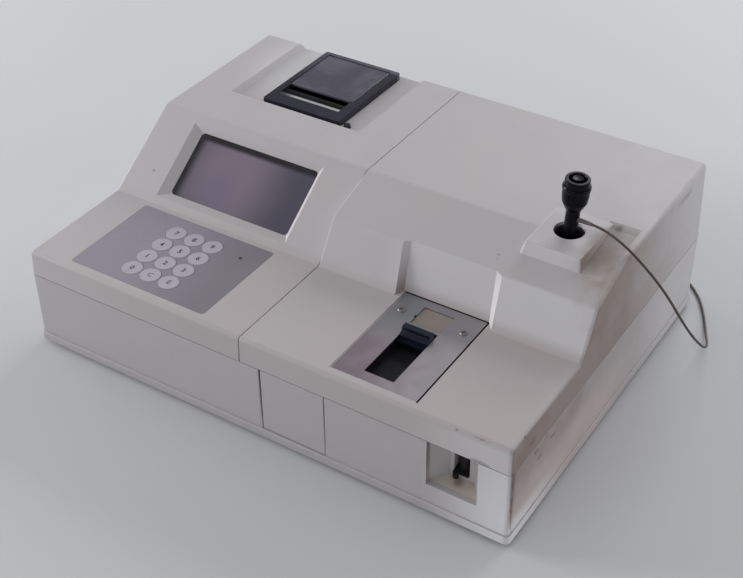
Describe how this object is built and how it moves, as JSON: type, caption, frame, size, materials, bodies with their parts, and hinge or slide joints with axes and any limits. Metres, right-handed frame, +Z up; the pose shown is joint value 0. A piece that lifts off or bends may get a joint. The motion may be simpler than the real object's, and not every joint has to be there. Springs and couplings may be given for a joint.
{
  "type": "benchtop chemistry analyzer",
  "caption": "Benchtop chemistry analyzer: sloped two-tone housing with keypad, display, strip printer, slide loader, disposal drawer and a corded pipettor in its holder.",
  "frame": {"origin": "on the table under the middle of the housing", "axes": "+X to the right of the operator, +Y to the rear, +Z up"},
  "size_m": [0.5517, 0.4375, 0.2181],
  "materials": {
    "cover_grey": "fine-textured moulded housing plastic, warm light grey",
    "base_grey": "fine-textured moulded base plastic, warm light grey",
    "overlay_mauve": "printed keypad overlay, mauve grey",
    "key_white": "off-white key caps",
    "window_dark": "dark display window",
    "module_black": "black display module",
    "plate_steel": "brushed stainless plate",
    "screw_steel": "plated screws",
    "navy_plastic": "near-black navy plastic",
    "smoked_lid": "smoked translucent lid",
    "bar_steel": "steel tear bar",
    "platen_rubber": "black rubber roller",
    "cream_bed": "cream sample slide bed",
    "gloss_black": "glossy black plastic",
    "satin_black": "satin black plastic",
    "cord_beige": "beige-grey cord jacket",
    "gland_grey": "grey strain relief",
    "foot_rubber": "rubber feet",
    "zinc_steel": "zinc-plated sheet steel",
    "cast_alloy": "alloy case",
    "board_green": "circuit board",
    "lamp_amber": "unlit indicator lens",
    "steel_blade": "plated connector shell"
  },
  "bodies": {
    "analyzer": {"base_shell": "base_grey", "cover_screws": "screw_steel", "rubber_feet": "foot_rubber", "fascia_left": "base_grey", "fascia_right": "base_grey", "alcove_insert": "base_grey", "tip_dock": "satin_black", "left_cover": "cover_grey", "right_cover": "cover_grey", "keypad_overlay": "overlay_mauve", "keypad_backer": "module_black", "status_lamp": "lamp_amber", "display_window": "window_dark", "display_module": "module_black", "printer_housing": "navy_plastic", "tear_bar": "bar_steel", "slide_plate": "plate_steel", "plate_screws": "screw_steel", "slide_guide": "satin_black", "slide_bed": "cream_bed", "pipettor_holder": "satin_black", "cord_run": "cord_beige", "cord_coil": "cord_beige", "cord_tail": "cord_beige", "cord_plug": "satin_black", "rear_panel": "zinc_steel", "power_inlet": "satin_black", "serial_port": "steel_blade", "cord_jack": "satin_black", "fan_frame": "satin_black", "chassis_plate": "zinc_steel", "main_board": "board_green", "power_supply": "cast_alloy", "rotor_motor": "cast_alloy"},
    "drawer": {"drawer_front": "base_grey", "drawer_box": "base_grey"},
    "pusher": {"slide_pusher": "navy_plastic"},
    "lid": {"printer_lid": "smoked_lid"},
    "platen": {"platen_roller": "platen_rubber"},
    "feed_key": {"feed_button": "navy_plastic"},
    "pipettor": {"pipettor_body": "gloss_black", "pipettor_ring": "gloss_black", "pipettor_nozzle": "satin_black", "cord_gland": "gland_grey"},
    "plunger": {"pipettor_button": "gloss_black"},
    "rocker": {"power_rocker": "satin_black"},
    "fan": {"fan_rotor": "satin_black"},
    "turntable": {"incubator_rotor": "cast_alloy"},
    "key_0_cap": {"key_0": "key_white"},
    "key_clear_cap": {"key_clear": "key_white"},
    "key_enter_cap": {"key_enter": "key_white"},
    "key_1_cap": {"key_1": "key_white"},
    "key_2_cap": {"key_2": "key_white"},
    "key_3_cap": {"key_3": "key_white"},
    "key_4_cap": {"key_4": "key_white"},
    "key_5_cap": {"key_5": "key_white"},
    "key_6_cap": {"key_6": "key_white"},
    "key_7_cap": {"key_7": "key_white"},
    "key_8_cap": {"key_8": "key_white"},
    "key_9_cap": {"key_9": "key_white"}
  },
  "joints": [
    {"name": "drawer_slide", "type": "slide", "parent": "analyzer", "child": "drawer", "axis": [0, -1, 0], "range_m": [0, 0.1]},
    {"name": "pusher_slide", "type": "slide", "parent": "analyzer", "child": "pusher", "axis": [0, 1, 0], "range_m": [-0.05, 0.0048]},
    {"name": "lid_hinge", "type": "hinge", "parent": "analyzer", "child": "lid", "pos_m": [-0.12625, 0.1768, 0.1615], "axis": [-1, 0, 0], "range_deg": [0, 85]},
    {"name": "platen_spin", "type": "hinge", "parent": "analyzer", "child": "platen", "pos_m": [-0.12625, 0.099, 0.154], "axis": [1, 0, 0], "continuous": true},
    {"name": "feed_press", "type": "slide", "parent": "analyzer", "child": "feed_key", "axis": [0, 0, -1], "range_m": [0, 0.0012], "stiffness_N_per_m": 40, "springref_m": -0.001},
    {"name": "pipettor_lift", "type": "slide", "parent": "analyzer", "child": "pipettor", "axis": [0.0506, 0, 0.9987], "range_m": [0, 0.12], "deforming": ["cord_run"]},
    {"name": "plunger_press", "type": "slide", "parent": "pipettor", "child": "plunger", "axis": [-0.0506, 0, -0.9987], "range_m": [0, 0.0036], "stiffness_N_per_m": 40, "springref_m": -0.001},
    {"name": "rocker_tilt", "type": "hinge", "parent": "analyzer", "child": "rocker", "pos_m": [-0.084, 0.1857, 0.041], "axis": [1, 0, 0], "range_deg": [-18, 0]},
    {"name": "fan_spin", "type": "hinge", "parent": "analyzer", "child": "fan", "pos_m": [-0.025, 0.18, 0.041], "axis": [0, 1, 0], "continuous": true},
    {"name": "turntable_spin", "type": "hinge", "parent": "analyzer", "child": "turntable", "pos_m": [0.1, 0.045, 0.095], "axis": [0, 0, 1], "continuous": true},
    {"name": "key_0_press", "type": "slide", "parent": "analyzer", "child": "key_0_cap", "axis": [0, 0, -1], "range_m": [0, 0.0006], "stiffness_N_per_m": 40, "springref_m": -0.001},
    {"name": "key_clear_press", "type": "slide", "parent": "analyzer", "child": "key_clear_cap", "axis": [0, 0, -1], "range_m": [0, 0.0006], "stiffness_N_per_m": 40, "springref_m": -0.001},
    {"name": "key_enter_press", "type": "slide", "parent": "analyzer", "child": "key_enter_cap", "axis": [0, 0, -1], "range_m": [0, 0.0006], "stiffness_N_per_m": 40, "springref_m": -0.001},
    {"name": "key_1_press", "type": "slide", "parent": "analyzer", "child": "key_1_cap", "axis": [0, 0, -1], "range_m": [0, 0.0006], "stiffness_N_per_m": 40, "springref_m": -0.001},
    {"name": "key_2_press", "type": "slide", "parent": "analyzer", "child": "key_2_cap", "axis": [0, 0, -1], "range_m": [0, 0.0006], "stiffness_N_per_m": 40, "springref_m": -0.001},
    {"name": "key_3_press", "type": "slide", "parent": "analyzer", "child": "key_3_cap", "axis": [0, 0, -1], "range_m": [0, 0.0006], "stiffness_N_per_m": 40, "springref_m": -0.001},
    {"name": "key_4_press", "type": "slide", "parent": "analyzer", "child": "key_4_cap", "axis": [0, 0, -1], "range_m": [0, 0.0006], "stiffness_N_per_m": 40, "springref_m": -0.001},
    {"name": "key_5_press", "type": "slide", "parent": "analyzer", "child": "key_5_cap", "axis": [0, 0, -1], "range_m": [0, 0.0006], "stiffness_N_per_m": 40, "springref_m": -0.001},
    {"name": "key_6_press", "type": "slide", "parent": "analyzer", "child": "key_6_cap", "axis": [0, 0, -1], "range_m": [0, 0.0006], "stiffness_N_per_m": 40, "springref_m": -0.001},
    {"name": "key_7_press", "type": "slide", "parent": "analyzer", "child": "key_7_cap", "axis": [0, 0, -1], "range_m": [0, 0.0006], "stiffness_N_per_m": 40, "springref_m": -0.001},
    {"name": "key_8_press", "type": "slide", "parent": "analyzer", "child": "key_8_cap", "axis": [0, 0, -1], "range_m": [0, 0.0006], "stiffness_N_per_m": 40, "springref_m": -0.001},
    {"name": "key_9_press", "type": "slide", "parent": "analyzer", "child": "key_9_cap", "axis": [0, 0, -1], "range_m": [0, 0.0006], "stiffness_N_per_m": 40, "springref_m": -0.001}
  ]
}
